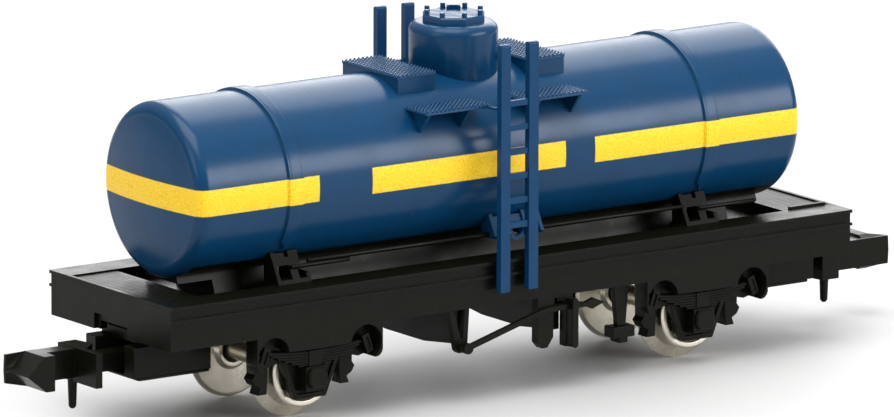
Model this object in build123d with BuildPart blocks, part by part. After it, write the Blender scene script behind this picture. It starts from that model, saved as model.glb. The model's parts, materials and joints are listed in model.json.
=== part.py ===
from build123d import *

import os
from math import cos, radians, sin

# Two-axle tank wagon, 1:150 scale on 9 mm track, all sizes in millimetres.
# X runs along the wagon (front end at -X), -Y is the near side, Z is up and
# z = 0 is the lowest point of the wheel flanges.

# Track, wheels and axles
wheelbase = 35.3
tread_radius = 2.8
flange_depth = 0.91
back_to_back = 7.4
wheel_width = 2.1
axle_radius = 0.75
sleeve_radius = 1.05
pivot_span = 14.2
pivot_tip_radius = 0.06
axle_height = tread_radius + flange_depth

# Underframe
frame_half_length = 30.93
frame_half_width = 7.9
lip = 0.28
sill_wall = 0.8
sill_bottom = 7.12
sill_top = 10.22
deck_edge = 0.25
deck_top = sill_top + deck_edge
well_half_length = 26.7
well_half_width = 5.6
bearer_half_length = 1.7
well_floor = 9.5
tray_bottom = 9.2
pan_bottom = 7.3
pan_top = 8.1
pan_half_width = frame_half_width - sill_wall - 0.05

# Running gear, measured outwards from the centre line
guard_inner = 5.92
guard_outer = 6.64
box_outer = 7.75
spring_outer = 7.22
shackle_outer = 7.42
leaf_count = 6
leaf_pitch = 0.193
leaf_sag_radius = 29.4
spring_top = 5.53
spring_half_length = 4.55

# Tank
tank_radius = 6.57
tank_wall = 0.8
tank_height = 17.43
tank_half_length = 26.4
tank_knuckle = 1.0
tank_crown = 0.45
belly_half_width = 4.0
band_start = 18.28
band_width = 1.24
band_proud = 0.2
saddle_start = 17.1
saddle_length = 2.95

# Dome and top fittings
dome_radius = 3.35
dome_x = -0.2
dome_top = 27.2
lid_across = 4.6
lid_height = 0.55
lid_bolt_circle = 4.3
lid_turn = 32
board_start = 4.2
board_length = 3.35
board_half_width = 3.6
board_top = 24.37
walk_start = 1.6
walk_end = 7.35
walk_inner = 4.6
walk_outer = 7.4
walk_top = 22.25

# Ladders
ladder_inner = 8.4
ladder_outer = 8.95
ladder_x = -0.45
stile_offset = 1.27
stile_width = 0.85
ladder_bottom = 8.2
ladder_top = 26.9
rung_count = 6
rung_first = 13.2
rung_pitch = 1.84

# Couplers, measured outwards from the wagon's middle
coupler_pivot = 27.4
coupler_height = 5.2
coupler_boss_radius = 1.7
coupler_plate = 33.35
coupler_tip = 39.3
pocket_front = 31.0
pocket_half_width = 3.2

ends = {"front": -1, "rear": 1}
sides = {"near": -1, "far": 1}


def side_plane(side, reach=0.0, along=0.0):
    # Upright plane on one side: x along the wagon, y up, z outwards.
    return Plane(origin=(along, side * reach, 0), x_dir=(-side, 0, 0), z_dir=(0, side, 0))


def end_plane(end, height=0.0):
    # Level plane seen from above: x out of one end of the wagon.
    return Plane(origin=(0, 0, height), x_dir=(end, 0, 0), z_dir=(0, 0, 1))


def end_elevation(end, across=0.0):
    # Upright plane along the wagon: x out of one end, y up.
    return Plane(origin=(0, end * across, 0), x_dir=(end, 0, 0), z_dir=(0, -end, 0))


def cross_plane(along):
    # Upright plane across the wagon: x towards the far side, y up, z along +X.
    return Plane(origin=(along, 0, 0), x_dir=(0, 1, 0), z_dir=(1, 0, 0))


def rib_plane(side, along):
    # Upright plane across the wagon: x out to one side, y up, z against the side's +x.
    return Plane(origin=(-side * along, 0, 0), x_dir=(0, side, 0), z_dir=(side, 0, 0))


def write_part(builder, name):
    builder.part.label = name
    export_step(builder.part, f"parts/{name}.step")


def tank_cylinder(radius, half_length, mode):
    with Locations((0, 0, tank_height)):
        Cylinder(radius, 2 * half_length, rotation=(0, 90, 0), mode=mode)


os.makedirs("parts", exist_ok=True)


# ---- Wheelsets: pinpoint axles, pressed-on wheels, one wheel insulated ----

def make_axle(end):
    spin_axis = Axis((end * wheelbase / 2, 0, axle_height), (0, 1, 0))
    shoulder = back_to_back / 2 + wheel_width + 0.1
    with BuildPart() as axle:
        with BuildSketch(Plane(origin=spin_axis.position, x_dir=(0, 1, 0), z_dir=(1, 0, 0))):
            with BuildLine():
                Polyline((-pivot_span / 2, 0),
                         (-pivot_span / 2 + 0.04, pivot_tip_radius),
                         (-shoulder, axle_radius),
                         (shoulder, axle_radius),
                         (pivot_span / 2 - 0.04, pivot_tip_radius),
                         (pivot_span / 2, 0),
                         close=True)
            make_face()
        revolve(axis=spin_axis)
    return axle


def make_wheel(end, side, bore):
    # Flanged wheel turned from one piece, with a dished outer face and a raised hub.
    spin_axis = Axis((end * wheelbase / 2, 0, axle_height), (0, 1, 0))
    back = back_to_back / 2
    face = back + wheel_width
    with BuildPart() as wheel:
        with BuildSketch(Plane(origin=spin_axis.position, x_dir=(0, side, 0), z_dir=(side, 0, 0))):
            with BuildLine():
                Polyline((back - 0.3, bore), (back - 0.3, 1.35), (back, 1.6),
                         (back, axle_height - 0.3))
                TangentArc((back, axle_height - 0.3), (back + 0.3, axle_height), tangent=(0, 1))
                Polyline((back + 0.3, axle_height),
                         (back + 0.62, tread_radius + 0.05),
                         (face - 0.12, tread_radius - 0.06),
                         (face, tread_radius - 0.2),
                         (face, tread_radius - 0.5),
                         (face - 0.5, tread_radius - 0.72),
                         (face - 0.5, 1.35),
                         (face - 0.1, 1.22),
                         (face - 0.1, bore),
                         (back - 0.3, bore))
            make_face()
        revolve(axis=spin_axis)
    return wheel


for end_name, end in ends.items():
    write_part(make_axle(end), f"axle_{end_name}")
    write_part(make_wheel(end, sides["near"], axle_radius), f"wheel_{end_name}_near")
    write_part(make_wheel(end, sides["far"], sleeve_radius), f"wheel_{end_name}_far")
    with BuildPart() as sleeve:
        sleeve_plane = Plane(origin=(end * wheelbase / 2, back_to_back / 2, axle_height),
                             x_dir=(1, 0, 0), z_dir=(0, 1, 0))
        with BuildSketch(sleeve_plane):
            Circle(sleeve_radius)
            Circle(axle_radius, mode=Mode.SUBTRACT)
        extrude(amount=wheel_width - 0.1)
    write_part(sleeve, f"insulating_sleeve_{end_name}")


# ---- Underframe: solebars, headstocks, spring hangers and brake brackets ----

hanger_half_length = 5.6
hanger_depth = 1.4
recess_radius = 1.38
recess_place = (4.12, 5.7)
recess_depth = 1.27
leg_start = 2.0
leg_width = 1.4
leg_foot = 3.25
guide_centre = 4.85
guide_width = 0.62
guide_foot = 3.15
guide_top = 6.9

with BuildPart() as underframe:
    with BuildSketch(Plane.XY.offset(sill_bottom)):
        Rectangle(2 * frame_half_length, 2 * frame_half_width)
        Rectangle(2 * (frame_half_length - 0.9), 2 * (frame_half_width - sill_wall),
                  mode=Mode.SUBTRACT)
    extrude(amount=sill_top - sill_bottom)
    # A thin flange runs along each solebar below the deck's edge.
    with BuildSketch(Plane.XY.offset(9.25)):
        for side in sides.values():
            with Locations((0, side * (frame_half_width + lip / 2))):
                Rectangle(2 * frame_half_length, lip)
    extrude(amount=0.22)
    for side in sides.values():
        for end in ends.values():
            # Spring hanger plate, flush with the solebar, open behind each shackle.
            with BuildSketch(side_plane(side, frame_half_width, end * wheelbase / 2)):
                with BuildLine():
                    for turn in (-1, 1):
                        Polyline((0, sill_bottom + 0.1),
                                 (turn * hanger_half_length, sill_bottom + 0.1),
                                 (turn * hanger_half_length, 5.15))
                        TangentArc((turn * hanger_half_length, 5.15),
                                   (turn * 4.72, 4.6), tangent=(0, -1))
                        Polyline((turn * 4.72, 4.6), (turn * 4.26, 4.48),
                                 (turn * 2.9, 4.8), (turn * 2.8, 5.85), (0, 5.8))
                make_face()
            extrude(amount=-hanger_depth)
            with BuildSketch(side_plane(side, frame_half_width, end * wheelbase / 2)):
                for turn in (-1, 1):
                    with Locations((turn * recess_place[0], recess_place[1])):
                        Circle(recess_radius)
                    with Locations((turn * 3.3, 5.0)):
                        Rectangle(2.3, 1.7)
            extrude(amount=-recess_depth, mode=Mode.SUBTRACT)
        # Brake bracket: a plate with a square hole, a pointed leg and the lever guide.
        with BuildSketch(side_plane(side, frame_half_width)):
            with BuildLine():
                Polyline((leg_start, sill_bottom + 0.1),
                         (leg_start, leg_foot + 0.45),
                         (leg_start + 0.4, leg_foot),
                         (leg_start + 0.85, leg_foot),
                         (leg_start + leg_width, leg_foot + 0.75),
                         (leg_start + leg_width, 6.15),
                         (guide_centre - guide_width / 2, 6.05),
                         (guide_centre - guide_width / 2, guide_foot),
                         (guide_centre + guide_width / 2, guide_foot),
                         (guide_centre + guide_width / 2, sill_bottom + 0.1),
                         close=True)
            make_face()
            with Locations((3.9, 6.72)):
                Rectangle(0.8, 0.5, mode=Mode.SUBTRACT)
        extrude(amount=-sill_wall)
    # Headstock: a shallow rebate around the coupler opening, then the opening itself.
    for end in ends.values():
        for half_width, top, depth in ((2.2, 8.34, 0.3), (1.78, 7.8, 1.2)):
            face_plane = Plane(origin=(end * frame_half_length, 0, 0),
                               x_dir=(0, end, 0), z_dir=(end, 0, 0))
            with BuildSketch(face_plane):
                with Locations((0, (top + sill_bottom) / 2)):
                    Rectangle(2 * half_width, top - sill_bottom)
            extrude(amount=-depth, mode=Mode.SUBTRACT)
write_part(underframe, "underframe")


# ---- Deck: walkway plate with rims, end panels and the well for the tank ----

with BuildPart() as deck:
    with BuildSketch(Plane.XY.offset(sill_top)):
        Rectangle(2 * frame_half_length, 2 * (frame_half_width + lip))
    extrude(amount=deck_edge)
    with BuildSketch(Plane.XY.offset(tray_bottom)):
        Rectangle(2 * well_half_length + 1, 2 * well_half_width + 1)
    extrude(amount=sill_top - tray_bottom)
    with BuildSketch(Plane.XY.offset(deck_top)):
        Rectangle(2 * well_half_length, 2 * well_half_width)
    extrude(amount=well_floor - deck_top, mode=Mode.SUBTRACT)
    # The end panels lie a little below the side walkways.
    with BuildSketch(Plane.XY.offset(deck_top)):
        for end in ends.values():
            with Locations((end * (well_half_length + frame_half_length - 0.3) / 2, 0)):
                Rectangle(frame_half_length - well_half_length - 0.3, 2 * well_half_width)
    extrude(amount=-0.12, mode=Mode.SUBTRACT)
    # Bearers across the well carry the saddles.
    with BuildSketch(Plane.XY.offset(well_floor)):
        for end in ends.values():
            for side in sides.values():
                with Locations((end * (saddle_start + saddle_length / 2),
                                side * (belly_half_width + well_half_width) / 2)):
                    Rectangle(2 * bearer_half_length, well_half_width - belly_half_width)
    extrude(amount=deck_top - well_floor)
    # Rounded kerb beside the rear end panel.
    with BuildSketch(Plane.XY.offset(deck_top - 0.12)):
        with Locations((28.7, -well_half_width + 0.25)):
            SlotOverall(3.4, 0.4)
    extrude(amount=0.32)
write_part(deck, "deck")


# ---- Floor pan: wheel slots, brake cross plates and coupler pockets ----

slot_half_length = 4.3
cross_plate_at = 4.4
pocket_bottom = 4.05
pocket_lid = 0.2
pocket_wall_top = 6.6
pocket_roof = 6.45
pocket_roof_end = 29.6
mouth_inner = 1.45
mouth_outer = 1.95

with BuildPart() as floor_pan:
    with BuildSketch(Plane.XY.offset(pan_bottom)):
        Rectangle(2 * (frame_half_length - 0.95), 2 * pan_half_width)
        for end in ends.values():
            for side in sides.values():
                with Locations((end * wheelbase / 2, side * 4.75)):
                    Rectangle(2 * slot_half_length, 2.5, mode=Mode.SUBTRACT)
    extrude(amount=pan_top - pan_bottom)
    # Brake cross plates, deeper at the middle than at the solebars.
    for turn in (-1, 1):
        with BuildSketch(cross_plane(turn * cross_plate_at - 0.25)):
            Polygon((-6.9, pan_bottom), (-6.9, 4.3), (-2.5, 3.75), (2.5, 3.75),
                    (6.9, 4.3), (6.9, pan_bottom), align=None)
        extrude(amount=0.5)
    # Tapered hangers that carry the safety loops of the brake rod.
    for side in sides.values():
        with BuildSketch(side_plane(side, 6.1)):
            Polygon((9.85, pan_bottom), (10.2, 3.75), (11.0, 3.75), (11.3, pan_bottom), align=None)
        extrude(amount=0.5)
    # Coupler pockets: a box under each end, open at the front and underneath.
    for end in ends.values():
        with BuildSketch(end_plane(end, pocket_bottom + pocket_lid)):
            with Locations(((24.2 + pocket_front) / 2, 0)):
                Rectangle(pocket_front - 24.2, 2 * pocket_half_width)
        extrude(amount=pan_bottom - pocket_bottom - pocket_lid)
        with BuildSketch(end_plane(end, pocket_bottom + pocket_lid)):
            with Locations(((pocket_roof_end + 32) / 2, 0)):
                Rectangle(32 - pocket_roof_end, 7)
        extrude(amount=3.5, mode=Mode.SUBTRACT)
        with BuildSketch(end_plane(end, pan_bottom)):
            with Locations((30, 0)):
                Rectangle(2.4, 4.4)
        extrude(amount=pan_top - pan_bottom, mode=Mode.SUBTRACT)
        with BuildSketch(end_plane(end, pocket_bottom + pocket_lid)):
            with Locations(((29 + pocket_front) / 2, 0)):
                Rectangle(pocket_front - 29, 2 * pocket_half_width)
        extrude(amount=pocket_wall_top - pocket_bottom - pocket_lid)
        with BuildSketch(end_plane(end, pocket_bottom + pocket_lid)):
            with Locations((coupler_pivot, 0)):
                Circle(coupler_boss_radius + 0.12)
            with Locations(((24.45 + coupler_pivot) / 2, 0)):
                Rectangle(coupler_pivot - 24.45, 2.8)
            Polygon((coupler_pivot, -mouth_inner), (29.2, -mouth_inner), (32, -mouth_outer - 0.2),
                    (32, mouth_outer + 0.2), (29.2, mouth_inner), (coupler_pivot, mouth_inner),
                    align=None)
        extrude(amount=pocket_roof - pocket_bottom - pocket_lid, mode=Mode.SUBTRACT)
        with BuildSketch(end_plane(end, pocket_roof - 0.1)):
            Polygon((pocket_roof_end, -1.55), (32, -mouth_outer - 0.2),
                    (32, mouth_outer + 0.2), (pocket_roof_end, 1.55), align=None)
        extrude(amount=1, mode=Mode.SUBTRACT)
write_part(floor_pan, "floor_pan")

with BuildPart() as ballast_weight:
    with BuildSketch(Plane.XY.offset(pan_top)):
        RectangleRounded(56, 2 * pan_half_width - 0.2, 0.5)
    extrude(amount=tray_bottom - pan_top)
write_part(ballast_weight, "ballast_weight")


# ---- Running gear: axle guards, axle boxes, leaf springs and shackles ----

def make_pivot_cup(side, axle_x):
    # Cone that is cut from the guard and the box as a bearing for the axle's point.
    cup_axis = Axis((axle_x, 0, axle_height), (0, 1, 0))
    tip = pivot_span / 2 + 0.1
    mouth = axle_radius + 0.06
    with BuildPart() as cup:
        with BuildSketch(Plane(origin=(axle_x, 0, axle_height), x_dir=(0, side, 0),
                               z_dir=(side, 0, 0))):
            Polygon((5.9, 0), (5.9, mouth), (tip, 0.12), (tip, 0), align=None)
        revolve(axis=cup_axis)
    return cup.part


def make_axle_guard(side, axle_x):
    cup = make_pivot_cup(side, axle_x)
    with BuildPart() as guard:
        with BuildSketch(side_plane(side, guard_inner, axle_x)):
            with BuildLine():
                Polyline((-2.95, pan_bottom), (-2.75, 5.2), (-1.38, 1.82), (1.38, 1.82),
                         (2.75, 5.2), (2.95, pan_bottom), close=True)
            make_face()
        extrude(amount=guard_outer - guard_inner - 0.2)
        # Raised rib round the guard's edge, with the horn way left open.
        with BuildSketch(side_plane(side, guard_outer - 0.2, axle_x)):
            Polygon((-2.67, 5.0), (-1.38, 1.82), (1.38, 1.82), (2.67, 5.0), align=None)
            Polygon((-2.3, 5.0), (-1.15, 2.2), (1.15, 2.2), (2.3, 5.0), align=None,
                    mode=Mode.SUBTRACT)
        extrude(amount=0.2)
        add(cup, mode=Mode.SUBTRACT)
    return guard


def make_axle_box(side, axle_x):
    # Box body on a wider foot, with a light eight-sided lid in front.
    base = guard_outer - 0.2
    lid_depth = 0.32
    cup = make_pivot_cup(side, axle_x)
    with BuildPart() as box:
        with BuildSketch(side_plane(side, base, axle_x)):
            Polygon((-0.95, 2.5), (0.95, 2.5), (0.95, 4.36), (-0.95, 4.36), align=None)
        extrude(amount=box_outer - lid_depth - base)
        with BuildSketch(side_plane(side, base, axle_x)):
            with Locations((0, 2.66)):
                Rectangle(2.2, 0.3)
        extrude(amount=0.7)
        with BuildSketch(side_plane(side, box_outer - lid_depth, axle_x)):
            Polygon((-0.55, 2.78), (0.55, 2.78), (0.82, 3.1), (0.82, 3.9), (0.55, 4.24),
                    (-0.55, 4.24), (-0.82, 3.9), (-0.82, 3.1), align=None)
        extrude(amount=lid_depth)
        outer_face = box.faces().sort_by(Axis.Y)[-1 if side > 0 else 0]
        chamfer(outer_face.edges(), 0.12)
        add(cup, mode=Mode.SUBTRACT)
    return box


def leaf_height(along, index):
    # Lower edge of leaf `index` at a distance `along` from the spring's middle.
    centre = spring_top - (index + 1) * leaf_pitch
    return centre + along ** 2 / (2 * leaf_sag_radius)


def make_leaf_spring(side, axle_x):
    # Six leaves, each shorter than the one above, held by a buckle at the middle.
    inner = guard_outer + 0.02
    rib = 0.12
    with BuildPart() as spring:
        for index in range(leaf_count):
            half_length = spring_half_length - 0.62 * index
            low_end = leaf_height(half_length, index)
            low_middle = leaf_height(0, index)
            for start, depth, thickness in ((inner, spring_outer - rib - inner, leaf_pitch),
                                            (spring_outer - rib, rib, leaf_pitch - 0.05)):
                with BuildSketch(side_plane(side, start, axle_x)):
                    with BuildLine():
                        ThreePointArc((-half_length, low_end), (0, low_middle),
                                      (half_length, low_end))
                        Line((half_length, low_end), (half_length, low_end + thickness))
                        ThreePointArc((half_length, low_end + thickness),
                                      (0, low_middle + thickness),
                                      (-half_length, low_end + thickness))
                        Line((-half_length, low_end + thickness), (-half_length, low_end))
                    make_face()
                extrude(amount=depth)
        with BuildSketch(side_plane(side, inner, axle_x)):
            with Locations((0, spring_top - 0.56)):
                Rectangle(1.15, 1.16)
        extrude(amount=spring_outer - inner + 0.06)
        # Eyes at both ends of the top leaf, where the shackles hang on.
        with BuildSketch(side_plane(side, inner, axle_x)):
            for turn in (-1, 1):
                with Locations((turn * spring_half_length, leaf_height(spring_half_length, 0) + 0.1)):
                    Circle(0.2)
        extrude(amount=shackle_outer - 0.24 - inner)
    return spring


link_top = (4.38, 6.1)
link_foot = (4.8, 4.95)


def make_shackles(side):
    # Slanted box links between the spring eyes and the hanger plates.
    with BuildPart() as shackles:
        for end in ends.values():
            for turn in (-1, 1):
                start = Vector(turn * link_top[0], link_top[1])
                finish = Vector(turn * link_foot[0], link_foot[1])
                middle = (start + finish) / 2
                lean = (finish - start).get_angle(Vector(0, -1, 0)) * turn
                with BuildSketch(side_plane(side, shackle_outer - 0.24, end * wheelbase / 2)):
                    with Locations(Location((middle.X, middle.Y), lean)):
                        Rectangle(0.62, 1.5)
                extrude(amount=0.24)
                with BuildSketch(side_plane(side, shackle_outer, end * wheelbase / 2)):
                    with Locations(Location((middle.X, middle.Y), lean)):
                        Rectangle(0.3, 0.95)
                extrude(amount=-0.12, mode=Mode.SUBTRACT)
    return shackles


for side_name, side in sides.items():
    for end_name, end in ends.items():
        axle_x = end * wheelbase / 2
        write_part(make_axle_guard(side, axle_x), f"axle_guard_{end_name}_{side_name}")
        write_part(make_axle_box(side, axle_x), f"axle_box_{end_name}_{side_name}")
        write_part(make_leaf_spring(side, axle_x), f"leaf_spring_{end_name}_{side_name}")
    write_part(make_shackles(side), f"spring_shackles_{side_name}")


# ---- Brake gear: blocks, V hangers with shaft, levers, guides and safety loops ----

block_inner = 3.15
block_low = 2.3


def make_brake_blocks(end):
    # Four hanging blocks, one each side of both wheels of a wheelset.
    axle_x = end * wheelbase / 2
    with BuildPart() as blocks:
        for side in sides.values():
            for turn in (-1, 1):
                with BuildSketch(side_plane(side, 4.55, axle_x)):
                    with BuildLine():
                        Polyline((turn * block_inner, 4.7),
                                 (turn * (block_inner + 0.12), block_low),
                                 (turn * (block_inner + 0.95), block_low),
                                 (turn * (block_inner + 0.75), block_low + 0.55),
                                 (turn * (block_inner + 1.2), block_low + 0.8),
                                 (turn * (block_inner + 1.45), block_low + 1.25),
                                 (turn * (block_inner + 1.2), block_low + 1.6),
                                 (turn * (block_inner + 1.3), pan_bottom),
                                 (turn * (block_inner + 0.35), pan_bottom),
                                 (turn * block_inner, 4.7))
                    make_face()
                extrude(amount=1.15)
        with Locations((axle_x, 0, pan_bottom)):
            Box(20, 12.6, 2, align=(Align.CENTER, Align.CENTER, Align.MIN), mode=Mode.SUBTRACT)
    return blocks


for end_name, end in ends.items():
    write_part(make_brake_blocks(end), f"brake_blocks_{end_name}")

hanger_x = -4.65
shaft_height = 4.2
lever_inner = 7.98
lever_outer = 8.32
lever_height = 6.26
lever_depth = 0.4
pad_x = 6.7


def make_v_hanger(side):
    # Two struts that meet at the boss of the brake shaft.
    with BuildPart() as hanger:
        with BuildSketch(side_plane(side, 6.95)):
            with BuildLine():
                Polyline((hanger_x - 1.2, sill_bottom), (hanger_x - 0.5, 3.95),
                         (hanger_x - 0.3, 3.75), (hanger_x + 0.3, 3.75),
                         (hanger_x + 0.45, 4.0), (hanger_x + 0.65, sill_bottom), close=True)
            make_face()
            Polygon((hanger_x - 0.8, sill_bottom), (hanger_x - 0.12, 4.85), (hanger_x + 0.08, 4.85),
                    (hanger_x + 0.25, sill_bottom), align=None, mode=Mode.SUBTRACT)
        extrude(amount=0.6)
        with BuildSketch(side_plane(side, 6.95)):
            with Locations((hanger_x, shaft_height)):
                Circle(0.38)
        extrude(amount=lever_inner - 6.95)
    return hanger


def make_brake_lever(side):
    # Straight bar from the shaft, eased into a level end with an upright lozenge pad.
    bend_start = (1.2, 5.86)
    with BuildPart() as lever:
        with BuildSketch(side_plane(side, lever_inner)):
            with BuildLine():
                Line((hanger_x, shaft_height), bend_start)
                TangentArc(bend_start, (4.3, lever_height),
                           tangent=(bend_start[0] - hanger_x, bend_start[1] - shaft_height))
                Line((4.3, lever_height), (5.9, lever_height))
                offset(amount=lever_depth / 2, side=Side.BOTH)
            make_face()
        extrude(amount=lever_outer - lever_inner)
        with BuildSketch(side_plane(side, lever_inner)):
            with Locations((hanger_x, shaft_height)):
                Circle(0.42)
            Polygon((pad_x - 1.1, lever_height), (pad_x + 0.1, lever_height + 0.4),
                    (pad_x + 1.05, lever_height), (pad_x - 0.1, lever_height - 0.4), align=None)
        extrude(amount=0.45)
    return lever


def make_lever_guide(side):
    # Outer strap of the guide, bolted to the frame's bracket above and below the lever.
    with BuildPart() as guide:
        with BuildSketch(side_plane(side, 8.42)):
            with Locations((guide_centre, (guide_foot + guide_top) / 2)):
                SlotOverall(guide_top - guide_foot, 0.5, rotation=90)
        extrude(amount=0.34)
        with BuildSketch(side_plane(side, frame_half_width)):
            for height, tall in ((guide_foot + 0.45, 0.8), (guide_top - 0.18, 0.28)):
                with Locations((guide_centre, height)):
                    Rectangle(0.5, tall)
        extrude(amount=8.42 - frame_half_width)
    return guide


for side_name, side in sides.items():
    write_part(make_v_hanger(side), f"v_hanger_{side_name}")
    write_part(make_brake_lever(side), f"brake_lever_{side_name}")
    write_part(make_lever_guide(side), f"lever_guide_{side_name}")

with BuildPart() as safety_loops:
    # Stepped blocks at the feet of the two tapered hangers.
    for side in sides.values():
        with BuildSketch(side_plane(side, 5.75)):
            Polygon((9.6, 2.9), (10.15, 2.9), (10.15, 2.5), (10.95, 2.5), (10.95, 2.9),
                    (11.6, 2.9), (11.6, 3.75), (9.6, 3.75), align=None)
        extrude(amount=1.2)
write_part(safety_loops, "safety_loops")


# ---- Couplers: hook with cross plate and release pin, spring and pocket lid ----

head_back = 36.9
arm_low, arm_high = 4.15, 6.33
arm_inner, arm_outer = -0.25, -1.65
nose_height = 5.15
pin_place = 33.7
pin_across = -0.93
pin_tip = 1.7

# Side view of the hook's head: how far the top and the bottom edge lie behind the nose,
# and their heights. The nose's ridge dies out in the last stretch towards the arm.
wedge = (1.45, 1.65, 6.53, 3.84)
stump = (0.06, 0.06, arm_high, arm_low)
wedge_across = (1.65, -0.95)
stump_across = (-1.4, arm_outer)


def head_outline(top_back, low_back, top, bottom):
    return ((head_back, bottom), (coupler_tip - low_back, bottom), (coupler_tip, nose_height),
            (coupler_tip - top_back, top), (head_back, top))


def make_coupler(end):
    low = coupler_height - 0.68
    high = coupler_height + 0.68
    with BuildPart() as coupler:
        # Boss and shank.
        with BuildSketch(end_plane(end, low)):
            with Locations((coupler_pivot, 0)):
                Circle(coupler_boss_radius)
            with Locations(((coupler_pivot + coupler_plate) / 2, 0)):
                Rectangle(coupler_plate - coupler_pivot + 0.2, 1.5)
        extrude(amount=high - low)
        # Cross plate that pushes against the neighbour's hook, thicker behind the arm.
        with BuildSketch(end_plane(end, 3.8)):
            with Locations((coupler_plate + 0.28, 0)):
                Rectangle(0.56, 5.1)
            Polygon((coupler_plate, -2.55), (coupler_plate - 1, -2.55),
                    (coupler_plate - 1.3, -0.75), (coupler_plate, 0.4), align=None)
        extrude(amount=2.6)
        # Arm, set to one side so that two couplers can lie side by side.
        with BuildSketch(end_plane(end, arm_low)):
            with Locations(((coupler_plate + head_back) / 2, (arm_inner + arm_outer) / 2)):
                Rectangle(head_back - coupler_plate + 0.4, arm_inner - arm_outer)
        extrude(amount=arm_high - arm_low)
        # Hook head, wedge shaped so that it rides up over its partner.
        for (start, finish), outline in ((wedge_across, wedge), (stump_across, stump)):
            with BuildSketch(end_elevation(end, start)):
                Polygon(*head_outline(*outline), align=None)
            extrude(amount=start - finish)
        with BuildSketch(end_elevation(end, wedge_across[1])):
            Polygon(*head_outline(*wedge), align=None)
        with BuildSketch(end_elevation(end, stump_across[0])):
            Polygon(*head_outline(*stump), align=None)
        loft(ruled=True)
        # Release pin, tapered and bevelled at its tip, under the cross plate.
        with BuildSketch(end_elevation(end, pin_across)):
            Polygon((pin_place, pin_tip), (pin_place, 4.4), (pin_place + 0.38, 4.4),
                    (pin_place + 0.29, pin_tip + 0.18), (pin_place + 0.15, pin_tip), align=None)
        revolve(axis=Axis((end * pin_place, end * pin_across, 0), (0, 0, 1)))
    return coupler


for end_name, end in ends.items():
    write_part(make_coupler(end), f"coupler_{end_name}")


pocket_cover_end = 30.6

for end_name, end in ends.items():
    with BuildPart() as coupler_spring:
        # Short coil behind the boss, which lets the coupler give and brings it back.
        coil = Helix(pitch=0.32, height=0.8, radius=0.55,
                     center=(end * 24.65, 0, coupler_height), direction=(end, 0, 0))
        with BuildSketch(Plane(origin=coil @ 0, z_dir=coil % 0)):
            Rectangle(0.18, 0.18)
        sweep(path=coil, is_frenet=True)
    write_part(coupler_spring, f"coupler_spring_{end_name}")
    with BuildPart() as cover:
        # Lid that closes the pocket from below; its outline follows the pocket.
        with BuildSketch(end_plane(end, pocket_bottom)):
            with Locations(((24.2 + pocket_cover_end) / 2, 0)):
                Rectangle(pocket_cover_end - 24.2, 2 * pocket_half_width)
        extrude(amount=pocket_lid)
        fillet(cover.edges().filter_by(Axis.Z), 0.3)
        with BuildSketch(end_plane(end, pocket_bottom)):
            with Locations((25.2, 0)):
                Circle(0.5)
        extrude(amount=-0.2)
    write_part(cover, f"coupler_cover_{end_name}")


# ---- Tank: shell with raised bands, belly cradle and saddles ----

saddle_foot = 6.0
saddle_shoulder = (4.8, 12.72)
band_taper_top = 13.65
band_point = 12.95


def make_band(end):
    centre = end * (band_start + band_width / 2)
    half = band_width / 2
    with BuildPart() as band:
        with BuildSketch(cross_plane(centre - half)):
            with Locations((0, tank_height)):
                Circle(tank_radius + band_proud)
                Circle(tank_radius - 0.3, mode=Mode.SUBTRACT)
        extrude(amount=band_width)
        with BuildSketch(Plane(origin=(centre, 0, 0), x_dir=(1, 0, 0), z_dir=(0, -1, 0))):
            Polygon((-half, 25), (-half, band_taper_top), (0, band_point),
                    (half, band_taper_top), (half, 25), align=None)
        extrude(amount=tank_radius + 1, both=True, mode=Mode.INTERSECT)
    return band.part


with BuildPart() as tank_shell:
    flat = tank_radius - tank_knuckle
    nose = tank_half_length + tank_knuckle
    with BuildSketch(Plane.XZ):
        with BuildLine():
            # Half outline: crowned end, knuckle, straight barrel, and the same mirrored.
            for turn in (-1, 1):
                ThreePointArc((turn * (nose + tank_crown), tank_height),
                              (turn * (nose + 0.77 * tank_crown), tank_height + 0.5 * flat),
                              (turn * nose, tank_height + flat))
                ThreePointArc((turn * nose, tank_height + flat),
                              (turn * (tank_half_length + tank_knuckle * sin(radians(45))),
                               tank_height + flat + tank_knuckle * cos(radians(45))),
                              (turn * tank_half_length, tank_height + tank_radius))
            Line((-tank_half_length, tank_height + tank_radius),
                 (tank_half_length, tank_height + tank_radius))
            Line((-nose - tank_crown, tank_height), (nose + tank_crown, tank_height))
        make_face()
    revolve(axis=Axis((0, 0, tank_height), (1, 0, 0)))
    tank_cylinder(tank_radius - tank_wall, tank_half_length, Mode.SUBTRACT)
    # Raised bands over the saddles, their lower ends cut to points.
    for end in ends.values():
        add(make_band(end))
    # The belly is open where the cradle closes it.
    with BuildSketch(cross_plane(-tank_half_length)):
        with Locations((0, 11)):
            Rectangle(2 * belly_half_width, 6)
    extrude(amount=2 * tank_half_length, mode=Mode.SUBTRACT)
write_part(tank_shell, "tank_shell")

with BuildPart() as tank_cradle:
    # Strip that completes the barrel, on a keel that stands in the well.
    with BuildSketch(cross_plane(-tank_half_length)):
        with Locations((0, tank_height)):
            Circle(tank_radius)
            Circle(tank_radius - tank_wall, mode=Mode.SUBTRACT)
        with Locations((0, 11)):
            Rectangle(2 * belly_half_width, 6, mode=Mode.INTERSECT)
        Polygon((-2.6, well_floor), (2.6, well_floor), (1.9, 11.2), (-1.9, 11.2), align=None)
    extrude(amount=2 * tank_half_length)
    with BuildSketch(Plane.XY.offset(well_floor)):
        for end in ends.values():
            with Locations((end * tank_half_length, 0)):
                Rectangle(6, 20)
    extrude(amount=1.15, mode=Mode.SUBTRACT)
write_part(tank_cradle, "tank_cradle")


stub_reach = 5.5
stub_height = 11.6
stub_start = 1.4
stub_length = 5.2


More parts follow.
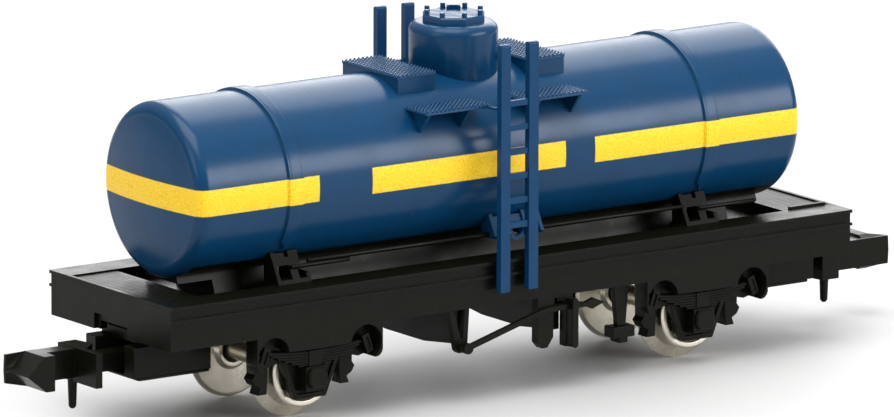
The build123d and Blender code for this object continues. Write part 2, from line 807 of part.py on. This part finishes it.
def saddle_slope(height):
    # Distance from the centre line to the saddle's sloping front at a height.
    share = (height - deck_top) / (saddle_shoulder[1] - deck_top)
    return saddle_foot + share * (saddle_shoulder[0] - saddle_foot)


def make_saddle(end):
    # Pressed bearer on each side: base plate, end plate, middle rib, a block with two
    # lobes that hugs the tank, a low corner rib and the stub of the inner rod.
    # Each row: from and to along the wagon, from and to in height.
    webs = ((0, 0.3, deck_top, saddle_shoulder[1]),
            (0.3, saddle_length, deck_top, deck_top + 0.28),
            (1.35, 2.0, deck_top + 0.28, 12.1),
            (0.3, 1.15, 11.75, 12.62),
            (1.15, 1.5, 11.75, 12.3),
            (1.5, 2.35, 11.75, saddle_shoulder[1]),
            (saddle_length - 0.3, saddle_length, deck_top, 11.1))
    with BuildPart() as saddle:
        for side in sides.values():
            # The far side is the near side turned half way round.
            plate_x = -side * end * saddle_start
            if side * end > 0:
                plate_x -= saddle_length
            for start, finish, low, high in webs:
                with BuildSketch(rib_plane(side, plate_x + start)):
                    Polygon((belly_half_width, low), (saddle_slope(low), low),
                            (saddle_slope(high), high), (belly_half_width, high), align=None)
                extrude(amount=start - finish)
            with BuildSketch(rib_plane(side, plate_x + stub_start)):
                with Locations((stub_reach, stub_height)):
                    Circle(0.16)
            extrude(amount=-stub_length)
        tank_cylinder(tank_radius, tank_half_length, Mode.SUBTRACT)
    return saddle


for end_name, end in ends.items():
    write_part(make_saddle(end), f"saddle_{end_name}")


# ---- Centre anchors and hold-down rods ----

anchor_x = 1.5
anchor_half_length = 2.25
rod_radius = 0.17
rod_height = 11.88
rod_reach = 5.35


def make_anchor(side):
    # Bracket on the barrel's lower flank: slanted end plates, a shelf and a U clamp.
    with BuildPart() as anchor:
        for start in (-anchor_half_length, -0.95, 0.65, anchor_half_length - 0.3):
            with BuildSketch(rib_plane(side, anchor_x + start)):
                Polygon((4.4, 13.35), (5.35, 13.4), (6.2, 11.85), (5.95, 11.6), (4.4, 11.6),
                        align=None)
            extrude(amount=-0.3)
        with BuildSketch(rib_plane(side, anchor_x - anchor_half_length)):
            Polygon((4.6, 13.1), (5.3, 13.15), (5.75, 12.3), (4.6, 12.3), align=None)
        extrude(amount=-2 * anchor_half_length)
        with BuildSketch(side_plane(side, 5.5, -side * anchor_x)):
            with BuildLine():
                ThreePointArc((-0.6, 12.5), (0, 11.45), (0.6, 12.5))
                offset(amount=0.15, side=Side.BOTH)
            make_face()
        extrude(amount=0.4)
        tank_cylinder(tank_radius, tank_half_length, Mode.SUBTRACT)
        # The rods end in holes through the end plates.
        with BuildSketch(cross_plane(-6)):
            with Locations((side * rod_reach, rod_height)):
                Circle(rod_radius)
        extrude(amount=12, mode=Mode.SUBTRACT)
    return anchor


for side_name, side in sides.items():
    write_part(make_anchor(side), f"tank_anchor_{side_name}")

with BuildPart() as hold_down_rods:
    # Two rods on each side, from a saddle's block to the anchor's end plate.
    for side in sides.values():
        for end in ends.values():
            inner = anchor_half_length - 0.3 - end * side * anchor_x
            with BuildSketch(cross_plane(end * inner if end > 0 else -saddle_start)):
                with Locations((side * rod_reach, rod_height)):
                    Circle(rod_radius)
            extrude(amount=saddle_start - inner)
write_part(hold_down_rods, "hold_down_rods")


# ---- Dome, lid, bolts and clamp ----

shoulder_radius = 0.75
bolt_radius = 0.2
bolt_top = 28.12


def dome_plane(height):
    # Level plane on the dome's axis, turned with the lid.
    return Plane(origin=(dome_x, 0, height), x_dir=(cos(radians(lid_turn)), sin(radians(lid_turn)), 0),
                 z_dir=(0, 0, 1))


with BuildPart() as dome:
    with BuildSketch(dome_plane(tank_height)):
        Circle(dome_radius)
    extrude(amount=dome_top - tank_height)
    fillet(dome.edges().filter_by(GeomType.CIRCLE).sort_by(Axis.Z)[-1], shoulder_radius)
    tank_cylinder(tank_radius, tank_half_length, Mode.SUBTRACT)
    # The inside is open to the barrel.
    with BuildSketch(dome_plane(tank_height)):
        Circle(dome_radius - 0.7)
    extrude(amount=dome_top - 0.8 - tank_height, mode=Mode.SUBTRACT)
write_part(dome, "dome")

with BuildPart() as dome_lid:
    with BuildSketch(dome_plane(dome_top)):
        RegularPolygon(lid_across / 2 / cos(radians(22.5)), 8)
    extrude(amount=lid_height)
    chamfer(dome_lid.faces().sort_by(Axis.Z)[-1].edges(), 0.12)
    # Seats for the bolts at the eight corners.
    with BuildSketch(dome_plane(dome_top)):
        with PolarLocations(lid_bolt_circle / 2, 8):
            Circle(bolt_radius)
    extrude(amount=lid_height, mode=Mode.SUBTRACT)
write_part(dome_lid, "dome_lid")

with BuildPart() as lid_bolts:
    with BuildSketch(dome_plane(dome_top)):
        with PolarLocations(lid_bolt_circle / 2, 8):
            Circle(bolt_radius)
    extrude(amount=bolt_top - dome_top)
write_part(lid_bolts, "lid_bolts")

with BuildPart() as lid_clamp:
    # Pair of hinge knuckles with a pin, near the lid's edge between two bolts.
    with BuildSketch(dome_plane(dome_top + lid_height)):
        with Locations(Location((1.45, 0.62), 22.5)):
            with Locations((0.1, -0.42), (0.1, 0.42)):
                Rectangle(0.75, 0.22)
            Rectangle(0.22, 1.0)
    extrude(amount=0.3)
write_part(lid_clamp, "lid_clamp")


# ---- Boards on top of the tank and walkways along its shoulders ----

rib_pitch = 0.4
rib_width = 0.2
rib_proud = 0.1

for end_name, end in ends.items():
    with BuildPart() as platform:
        middle = dome_x + end * (board_start + board_length / 2)
        with BuildSketch(Plane(origin=(middle, 0, 22), z_dir=(0, 0, 1))):
            Rectangle(board_length, 2 * board_half_width)
        extrude(amount=board_top - rib_proud - 22)
        tank_cylinder(tank_radius, tank_half_length, Mode.SUBTRACT)
        # Ribs along the board give it a tread.
        with BuildSketch(Plane(origin=(middle, 0, board_top - rib_proud), z_dir=(0, 0, 1))):
            with GridLocations(rib_pitch, 1, int((board_length - rib_width) / rib_pitch) + 1, 1):
                Rectangle(rib_width, 2 * board_half_width)
        extrude(amount=rib_proud)
    write_part(platform, f"platform_{end_name}")

walk_plate = 0.16
walk_length = walk_end - walk_start
gusset_places = (walk_end - 0.5, walk_start + 1.6)

for side_name, side in sides.items():
    for end_name, end in ends.items():
        with BuildPart() as walkway:
            walk_centre = -side * ladder_x + end * (walk_start + walk_end) / 2
            walk_plane = Plane(origin=(walk_centre, side * (walk_inner + walk_outer) / 2,
                                       walk_top - rib_proud), z_dir=(0, 0, 1))
            with BuildSketch(walk_plane):
                Rectangle(walk_length, walk_outer - walk_inner)
            extrude(amount=-walk_plate)
            with BuildSketch(walk_plane):
                with GridLocations(rib_pitch, 1, int((walk_length - rib_width) / rib_pitch) + 1, 1):
                    Rectangle(rib_width, walk_outer - walk_inner)
            extrude(amount=rib_proud)
            # Gusset brackets down to the barrel.
            for along in gusset_places:
                with BuildSketch(cross_plane(-side * ladder_x + end * along - 0.12)):
                    Polygon((side * 4.9, walk_top - 0.2), (side * 7.2, walk_top - 0.2),
                            (side * 5.86, 20.4), (side * 5, 20.4), align=None)
                extrude(amount=0.24)
            tank_cylinder(tank_radius, tank_half_length, Mode.SUBTRACT)
        write_part(walkway, f"walkway_{end_name}_{side_name}")


# ---- Ladders ----

lug_offset = 1.75
lug_width = 0.4

for side_name, side in sides.items():
    ladder_shift = -side * ladder_x
    with BuildPart() as ladder:
        with BuildSketch(side_plane(side, ladder_inner, ladder_shift)):
            with Locations((-stile_offset, ladder_bottom), (stile_offset, ladder_bottom)):
                Rectangle(stile_width, ladder_top - ladder_bottom, align=(Align.CENTER, Align.MIN))
        extrude(amount=ladder_outer - ladder_inner)
        # The stiles' tops are rounded over towards the front.
        top_edges = ladder.faces().sort_by(Axis.Z)[-2:].edges().filter_by(Axis.X)
        fillet(top_edges, 0.2)
        with BuildSketch(side_plane(side, ladder_inner + 0.08, ladder_shift)):
            with Locations((0, rung_first + rung_pitch * (rung_count - 1) / 2)):
                with GridLocations(1, rung_pitch, 1, rung_count):
                    Rectangle(2 * stile_offset, 0.45)
        extrude(amount=ladder_outer - ladder_inner - 0.2)
        # Short lugs reach back to the walkways.
        with BuildSketch(side_plane(side, ladder_inner, ladder_shift)):
            with Locations((-lug_offset, walk_top - rib_proud - walk_plate / 2),
                           (lug_offset, walk_top - rib_proud - walk_plate / 2)):
                Rectangle(lug_width, walk_plate)
        extrude(amount=walk_outer - ladder_inner)
    write_part(ladder, f"ladder_{side_name}")
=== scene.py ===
import json

import bpy
import numpy as np
from mathutils import Matrix, Vector


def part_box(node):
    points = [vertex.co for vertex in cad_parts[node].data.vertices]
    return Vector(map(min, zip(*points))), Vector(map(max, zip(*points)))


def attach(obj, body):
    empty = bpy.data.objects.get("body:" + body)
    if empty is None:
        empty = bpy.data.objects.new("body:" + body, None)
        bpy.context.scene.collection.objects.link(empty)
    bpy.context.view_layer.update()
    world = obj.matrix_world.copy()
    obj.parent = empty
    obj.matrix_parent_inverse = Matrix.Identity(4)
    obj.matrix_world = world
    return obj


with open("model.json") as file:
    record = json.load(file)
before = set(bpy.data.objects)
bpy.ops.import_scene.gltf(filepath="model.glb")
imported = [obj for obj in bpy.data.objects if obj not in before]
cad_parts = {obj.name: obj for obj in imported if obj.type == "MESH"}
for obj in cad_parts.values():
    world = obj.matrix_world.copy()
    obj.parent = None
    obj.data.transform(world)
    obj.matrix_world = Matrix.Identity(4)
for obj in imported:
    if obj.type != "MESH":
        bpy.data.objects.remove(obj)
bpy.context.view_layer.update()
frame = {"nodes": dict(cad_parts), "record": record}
mm = 0.001
print("frame loaded")


# A shader socket that takes part in sums: each operator adds one Math node.
class Wire:
    def __init__(self, tree, socket=None):
        self.tree = tree
        self.socket = socket

    def make(self, kind, settings=None, inputs=None, out=0):
        node = self.tree.nodes.new(kind)
        for name, value in (settings or {}).items():
            setattr(node, name, value)
        for key, value in (inputs or {}).items():
            if isinstance(value, Wire):
                self.tree.links.new(value.socket, node.inputs[key])
            else:
                node.inputs[key].default_value = value
        return Wire(self.tree, node.outputs[out])

    def calc(self, operation, left, right=0.0):
        return self.make("ShaderNodeMath", {"operation": operation}, {0: left, 1: right})

    def single(self, operation):
        return self.make("ShaderNodeMath", {"operation": operation}, {0: self})

    def __add__(self, other):
        return self.calc("ADD", self, other)

    def __sub__(self, other):
        return self.calc("SUBTRACT", self, other)

    def __rsub__(self, other):
        return self.calc("SUBTRACT", other, self)

    def __mul__(self, other):
        return self.calc("MULTIPLY", self, other)

    def __gt__(self, other):
        return self.calc("GREATER_THAN", self, other)

    def __lt__(self, other):
        return self.calc("LESS_THAN", self, other)

    __radd__ = __add__
    __rmul__ = __mul__

    def between(self, low, high):
        # 0 below low, 1 above high, even in between
        return self.make("ShaderNodeMapRange", {"clamp": True},
                         {"Value": self, "From Min": low, "From Max": high})

    def within(self, low, high, edge):
        # 1 from low to high and 0 outside, changing over this far each side of both
        start = self.between(low - edge, low + edge)
        return start * (1 - self.between(high - edge, high + edge))

    def axes(self):
        # the x, y and z of this vector, each as a wire
        split = self.make("ShaderNodeSeparateXYZ", None, {0: self}).socket.node
        return [Wire(self.tree, socket) for socket in split.outputs]

    def noise(self, place, scale, detail=2.0, rough=0.5):
        return self.make("ShaderNodeTexNoise", None,
                         {"Vector": place, "Scale": scale, "Detail": detail, "Roughness": rough})

    def blend(self, first, second):
        # the second colour where this wire is 1
        return self.make("ShaderNodeMix", {"data_type": "RGBA"},
                         {0: self, 6: first, 7: second}, out=2)


def linear(red, green, blue):
    # screen values from 0 to 255 as a linear colour, by the sRGB curve
    values = np.array([red, green, blue]) / 255
    curve = np.where(values <= 0.04045, values / 12.92, ((values + 0.055) / 1.055) ** 2.4)
    return (float(curve[0]), float(curve[1]), float(curve[2]), 1.0)


def newMaterial(name, fixed):
    # an empty Principled material; fixed holds what is the same all over
    material = bpy.data.materials.new(name)
    material.use_nodes = True
    tree = material.node_tree
    shader = tree.nodes["Principled BSDF"]
    for key, value in fixed.items():
        shader.inputs[key].default_value = value
    desk = Wire(tree)
    place = desk.make("ShaderNodeTexCoord", out="Object")
    return material, shader, desk, place


def plug(desk, shader, feeds):
    for key, wire in feeds.items():
        desk.tree.links.new(wire.socket, shader.inputs[key])


def bumpFrom(desk, height, strength, distance):
    return desk.make("ShaderNodeBump", None,
                     {"Strength": strength, "Distance": distance, "Height": height})


# Tank paint: gloss blue with a fine orange peel, and a level yellow stripe round the tank
# that is broken by two gaps on each side
tankPaint = {
    "blue": linear(7, 57, 93),
    "deepBlue": linear(6, 53, 87),
    "yellow": linear(246, 206, 44),
    "yellowGrain": linear(214, 158, 22),
    "stripeLow": 16.5 * mm,
    "stripeHigh": 18.45 * mm,
    "gaps": ((-16.8 * mm, -12.05 * mm), (5.45 * mm, 8.15 * mm)),
    "edge": 0.03 * mm,
    "wobble": 0.06 * mm,
    "wobbleScale": 9000,
    "mottleScale": 400,
    "grainScale": 7000,
    "peelScale": 5000,
    "roughness": 0.22,
    "specular": 0.24,
    "bump": 0.12,
    "bumpDepth": 0.02 * mm,
}


def makeTankPaint():
    look = tankPaint
    material, shader, desk, place = newMaterial(
        "tankPaint", {"Specular IOR Level": look["specular"]})
    along, side, height = place.axes()
    wobble = (desk.noise(place, look["wobbleScale"]) - 0.5) * look["wobble"]
    level = height + wobble
    stripe = level.within(look["stripeLow"], look["stripeHigh"], look["edge"])
    # the far side's gaps are those of the near side, turned half way round
    turned = along * ((side < 0.0) * 2.0 - 1.0)
    for gapStart, gapEnd in look["gaps"]:
        stripe = stripe * (1 - turned.within(gapStart, gapEnd, look["edge"]))
    mottle = desk.noise(place, look["mottleScale"], 3).between(0.3, 0.7)
    blue = mottle.blend(look["blue"], look["deepBlue"])
    grain = desk.noise(place, look["grainScale"], 3, 0.7).between(0.45, 0.75)
    yellow = grain.blend(look["yellow"], look["yellowGrain"])
    peel = desk.noise(place, look["peelScale"], 3)
    relief = peel * 0.6 + stripe * 1.0 + grain * stripe * 0.4
    plug(desk, shader, {
        "Base Color": stripe.blend(blue, yellow),
        "Roughness": look["roughness"] + (mottle * 0.06) + stripe * 0.12,
        "Normal": bumpFrom(desk, relief, look["bump"], look["bumpDepth"]),
    })
    return material


# Ladder plastic: a slightly clearer blue, the colour of the moulding itself
ladderPlastic = {
    "blue": linear(8, 58, 96),
    "shade": linear(6, 52, 88),
    "flowScale": 900,
    "fineScale": 12000,
    "roughness": 0.3,
    "specular": 0.18,
    "bump": 0.1,
    "bumpDepth": 0.02 * mm,
}


def makeLadderBlue():
    look = ladderPlastic
    material, shader, desk, place = newMaterial(
        "ladderBlue", {"Specular IOR Level": look["specular"]})
    flow = desk.noise(place, look["flowScale"], 3).between(0.3, 0.7)
    fine = desk.noise(place, look["fineScale"], 2)
    plug(desk, shader, {
        "Base Color": flow.blend(look["blue"], look["shade"]),
        "Roughness": look["roughness"] + flow * 0.08,
        "Normal": bumpFrom(desk, fine, look["bump"], look["bumpDepth"]),
    })
    return material


# Chassis plastic: semi-gloss black with a faint warm cast, duller flow marks and small
# rubbed spots. The deck's end panels have fine grooves along the wagon.
chassisPlastic = {
    "black": linear(14, 15, 8),
    "worn": linear(36, 37, 29),
    "flowScale": 500,
    "gritScale": 16000,
    "rubScale": 2500,
    "groovePitch": 0.42 * mm,
    "grooveDepth": 2.0,
    "panelStart": 26.9 * mm,
    "panelEnd": 30.5 * mm,
    "panelHalf": 5.4 * mm,
    "roughness": 0.26,
    "specular": 0.12,
    "bump": 0.3,
    "bumpDepth": 0.02 * mm,
}


def makeChassisBlack(name, grooved):
    look = chassisPlastic
    material, shader, desk, place = newMaterial(name, {"Specular IOR Level": look["specular"]})
    flow = desk.noise(place, look["flowScale"], 4).between(0.35, 0.7)
    grit = desk.noise(place, look["gritScale"], 3)
    rub = desk.noise(place, look["rubScale"], 4, 0.7).between(0.62, 0.78)
    relief = grit * 0.5 + flow * 0.5
    if grooved:
        along, across = place.axes()[:2]
        outward = along.single("ABSOLUTE")
        panel = (outward > look["panelStart"]) * (outward < look["panelEnd"])
        panel = panel * (across.single("ABSOLUTE") < look["panelHalf"])
        turns = across * (2 * np.pi / look["groovePitch"])
        relief = relief + panel * turns.single("SINE") * look["grooveDepth"]
    plug(desk, shader, {
        "Base Color": rub.blend(look["black"], look["worn"]),
        "Roughness": look["roughness"] + flow * 0.12 - rub * 0.08,
        "Normal": bumpFrom(desk, relief, look["bump"], look["bumpDepth"]),
    })
    return material


# Wheels: nickel plate with faint warm stains and a very fine grain
wheelMetal = {
    "bright": linear(236, 230, 216),
    "dull": linear(218, 210, 194),
    "stainScale": 700,
    "fineScale": 20000,
    "roughness": 0.26,
    "bump": 0.1,
    "bumpDepth": 0.01 * mm,
}


def makeWheelMetal():
    look = wheelMetal
    material, shader, desk, place = newMaterial("wheelNickel", {"Metallic": 1.0})
    stain = desk.noise(place, look["stainScale"], 3).between(0.35, 0.7)
    fine = desk.noise(place, look["fineScale"], 2)
    plug(desk, shader, {
        "Base Color": stain.blend(look["bright"], look["dull"]),
        "Roughness": look["roughness"] + stain * 0.12,
        "Normal": bumpFrom(desk, fine, look["bump"], look["bumpDepth"]),
    })
    return material


# Plain steel: the ballast plate and the coupler springs
plainSteel = {
    "bright": linear(150, 150, 150),
    "dull": linear(120, 118, 114),
    "stainScale": 600,
    "fineScale": 9000,
    "roughness": 0.35,
    "bump": 0.15,
    "bumpDepth": 0.01 * mm,
}


def makeSteel():
    look = plainSteel
    material, shader, desk, place = newMaterial("plainSteel", {"Metallic": 1.0})
    stain = desk.noise(place, look["stainScale"], 4).between(0.3, 0.7)
    fine = desk.noise(place, look["fineScale"], 2)
    plug(desk, shader, {
        "Base Color": stain.blend(look["bright"], look["dull"]),
        "Roughness": look["roughness"] + stain * 0.15,
        "Normal": bumpFrom(desk, fine, look["bump"], look["bumpDepth"]),
    })
    return material


finishes = {
    "tank_blue": makeTankPaint(),
    "ladder_blue": makeLadderBlue(),
    "chassis_black": makeChassisBlack("chassisBlack", grooved=False),
    "wheel_nickel": makeWheelMetal(),
    "ballast_steel": makeSteel(),
}
finishes["spring_steel"] = finishes["ballast_steel"]
finishes["sleeve_plastic"] = finishes["chassis_black"]
deckFinish = makeChassisBlack("deckBlack", grooved=True)
slotOf = {part["node"]: part["material_slot"] for part in frame["record"]["subparts"]}
for nodeName, node in frame["nodes"].items():
    node.data.materials.clear()
    node.data.materials.append(deckFinish if nodeName == "deck" else finishes[slotOf[nodeName]])
print("finishes made")


# Soft edges: moulded parts are slightly rounded, so their corners catch the light
softEdge = {
    "weld": 0.002 * mm,
    "flatAngle": 0.02,
    "sharpAngle": 0.6,
    "plastic": 0.06 * mm,
    "fine": 0.03 * mm,
    "segments": 2,
}
fineParts = ("leaf_spring", "lever_guide", "spring_shackles", "lid_", "walkway", "platform",
             "hold_down", "tank_anchor", "saddle")
smoothParts = ("tank_shell", "tank_cradle", "coupler_spring", "ballast", "insulating",
               "axle_front", "axle_rear")


def softenEdges(node, width):
    # weld the loose triangles, merge flat ones, then round the sharp edges
    weld = node.modifiers.new("weld", "WELD")
    weld.merge_threshold = softEdge["weld"]
    flat = node.modifiers.new("flat", "DECIMATE")
    flat.decimate_type = "DISSOLVE"
    flat.angle_limit = softEdge["flatAngle"]
    bevel = node.modifiers.new("bevel", "BEVEL")
    bevel.width = width
    bevel.segments = softEdge["segments"]
    bevel.limit_method = "ANGLE"
    bevel.angle_limit = softEdge["sharpAngle"]
    bevel.harden_normals = True


for nodeName, node in frame["nodes"].items():
    if not nodeName.startswith(smoothParts):
        fine = nodeName.startswith(fineParts)
        softenEdges(node, softEdge["fine"] if fine else softEdge["plastic"])
print("edges softened")


def addGrid(name, places, body, slotName):
    # a smooth mesh from a grid of points, riding on a body
    rows, columns = places.shape[:2]
    corner = np.arange(rows * columns).reshape(rows, columns)
    ring = (corner[:-1, :-1], corner[1:, :-1], corner[1:, 1:], corner[:-1, 1:])
    faces = np.stack(ring, axis=-1)
    mesh = bpy.data.meshes.new(name)
    mesh.from_pydata(places.reshape(-1, 3).tolist(), [], faces.reshape(-1, 4).tolist())
    mesh.polygons.foreach_set("use_smooth", np.ones(len(mesh.polygons), dtype=bool))
    mesh.materials.append(finishes[slotName])
    piece = bpy.data.objects.new(name, mesh)
    bpy.context.scene.collection.objects.link(piece)
    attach(piece, body)


# Treads on the boards and walkways: round bumps in rows both ways. Their height is
# cos squared along the plate times cos squared across it, so each edge is scalloped.
treads = {
    "pitch": 0.38 * mm,
    "rise": 0.2 * mm,
    "base": 0.1 * mm,
    "rim": 0.03 * mm,
    "skirt": 0.22 * mm,
    "steps": 6,
}


def makeTread(nodeName):
    look = treads
    low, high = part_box(nodeName)
    axes = []
    for start, end in ((low.x, high.x), (low.y, high.y)):
        rows = round((end - start) / look["pitch"])
        share = np.linspace(0, 1, rows * look["steps"] + 1)
        wave = np.cos(np.pi * rows * share) ** 2
        reach = start - look["rim"] + share * (end - start + 2 * look["rim"])
        axes.append((np.pad(reach, 1, "edge"), np.pad(wave, 1, "edge")))
    (x, waveX), (y, waveY) = axes
    z = high.z - look["base"] + look["rise"] * np.outer(waveX, waveY)
    # the outermost rows drop straight down as a skirt
    z[[0, -1], :] = high.z - look["skirt"]
    z[:, [0, -1]] = high.z - look["skirt"]
    places = np.stack(np.broadcast_arrays(x[:, None], y[None, :], z), axis=-1)
    addGrid(f"tread_{nodeName}", places, "chassis", slotOf[nodeName])


for nodeName in frame["nodes"]:
    if nodeName.startswith(("platform", "walkway")):
        makeTread(nodeName)
print("treads made")


# Rounded skin over each raised band. Across the band its height is one minus the eighth
# power of the offset, and its half width narrows to a point at both lower ends.
bands = {
    "middle": 18.9 * mm,
    "half": 0.67 * mm,
    "cadHeight": 0.2 * mm,
    "proud": 0.225 * mm,
    "sunk": 0.01 * mm,
    "power": 8,
    # degrees above the level of the tank's axis
    "taperStart": -35.0,
    "point": -44.0,
    "rows": 180,
    "columns": 24,
}


def makeBand(name, middle):
    look = bands
    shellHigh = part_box("tank_shell")[1]
    radius = shellHigh.y - look["cadHeight"]
    turn = np.radians(np.linspace(look["point"], 180 - look["point"], look["rows"]))
    above = np.degrees(np.minimum(turn, np.pi - turn))
    taper = (above - look["point"]) / (look["taperStart"] - look["point"])
    half = look["half"] * np.clip(taper, 0, 1)
    across = np.sin(np.linspace(-np.pi / 2, np.pi / 2, look["columns"]))
    reach = radius + look["proud"] * (1 - across ** look["power"]) - look["sunk"]
    x = middle + np.outer(half, across)
    y = -np.outer(np.cos(turn), reach)
    z = (shellHigh.z - shellHigh.y) + np.outer(np.sin(turn), reach)
    places = np.stack([x, y, z], axis=-1)
    addGrid(name, places, "chassis", "tank_blue")


for bandName, sign in (("front", -1), ("rear", 1)):
    makeBand(f"band_{bandName}", sign * bands["middle"])
print("bands rounded")


# Floor, light and camera
studio = {
    "floor": 0.8,
    "floorColour": linear(188, 188, 188),
    "floorShade": linear(185, 185, 185),
    "floorMottle": 30,
    "floorRoughness": 0.7,
    "horizon": (0.2, 0.2, 0.2, 1),
    "zenith": (1.0, 1.0, 1.0, 1),
    "zenithRise": 0.9,
    "lamps": {
        # place, size and power of each soft box
        "backBox": ((0.48, 0.46, 0.45), (0.6, 0.8), 4.4),
        "topBox": ((-0.15, -0.1, 0.7), (0.7, 0.6), 5.6),
        "sideBox": ((0.39, -0.56, 0.22), (0.5, 0.24), 3.0),
        "endBox": ((-0.7, -0.1, 0.3), (0.3, 0.3), 0.7),
    },
}


def makeStage():
    half = studio["floor"]
    mesh = bpy.data.meshes.new("floor")
    mesh.from_pydata([(-half, -half, 0), (half, -half, 0), (half, half, 0), (-half, half, 0)],
                     [], [(0, 1, 2, 3)])
    floor = bpy.data.objects.new("floor", mesh)
    bpy.context.scene.collection.objects.link(floor)
    material, shader, desk, place = newMaterial(
        "paleFloor", {"Roughness": studio["floorRoughness"]})
    tint = desk.noise(place, studio["floorMottle"], 2).between(0.2, 0.8)
    plug(desk, shader, {"Base Color": tint.blend(studio["floorColour"], studio["floorShade"])})
    mesh.materials.append(material)


def makeLamp(name, place, size, power):
    lamp = bpy.data.lights.new(name, "AREA")
    lamp.shape = "RECTANGLE"
    lamp.size, lamp.size_y = size
    lamp.energy = power
    holder = bpy.data.objects.new(name, lamp)
    bpy.context.scene.collection.objects.link(holder)
    holder.location = place
    holder.rotation_mode = "QUATERNION"
    aim = Vector(eye["target"]) - Vector(place)
    holder.rotation_quaternion = aim.to_track_quat("-Z", "Y")


def makeWorld():
    world = bpy.data.worlds.new("softRoom")
    world.use_nodes = True
    back = world.node_tree.nodes["Background"]
    desk = Wire(world.node_tree)
    ray = desk.make("ShaderNodeTexCoord", out="Generated")
    rise = ray.axes()[2].between(0.0, studio["zenithRise"])
    sky = rise.blend(studio["horizon"], studio["zenith"])
    world.node_tree.links.new(sky.socket, back.inputs["Color"])
    bpy.context.scene.world = world
    bpy.context.scene.view_settings.view_transform = "Standard"


# The camera stands low at the front near corner with a long lens
eye = {
    "turn": 35.14,
    "drop": 11.96,
    "roll": 0.159,
    "distance": 1022.24 * mm,
    "target": (-0.747 * mm, 0.0, 12.908 * mm),
    "lens": 551.68,
    "sensor": 36,
    "clipStart": 0.05,
    "clipEnd": 20,
}


def makeCamera():
    turn, drop, roll = (np.radians(eye[key]) for key in ("turn", "drop", "roll"))
    ahead = np.array([np.sin(turn) * np.cos(drop), np.cos(turn) * np.cos(drop), -np.sin(drop)])
    right = np.array([np.cos(turn), -np.sin(turn), 0.0])
    above = np.cross(right, ahead)
    rightRolled = np.cos(roll) * right + np.sin(roll) * above
    aboveRolled = np.cos(roll) * above - np.sin(roll) * right
    camera = bpy.data.cameras.new("camera")
    camera.sensor_width = eye["sensor"]
    camera.lens = eye["lens"]
    camera.clip_start = eye["clipStart"]
    camera.clip_end = eye["clipEnd"]
    holder = bpy.data.objects.new("camera", camera)
    bpy.context.scene.collection.objects.link(holder)
    matrix = Matrix(np.column_stack([rightRolled, aboveRolled, -ahead]).tolist()).to_4x4()
    matrix.translation = Vector(np.array(eye["target"]) - ahead * eye["distance"])
    holder.matrix_world = matrix
    bpy.context.scene.camera = holder


makeStage()
makeWorld()
for lampName, (lampPlace, lampSize, power) in studio["lamps"].items():
    makeLamp(lampName, lampPlace, lampSize, power)
makeCamera()
print("stage, lamps and camera set")
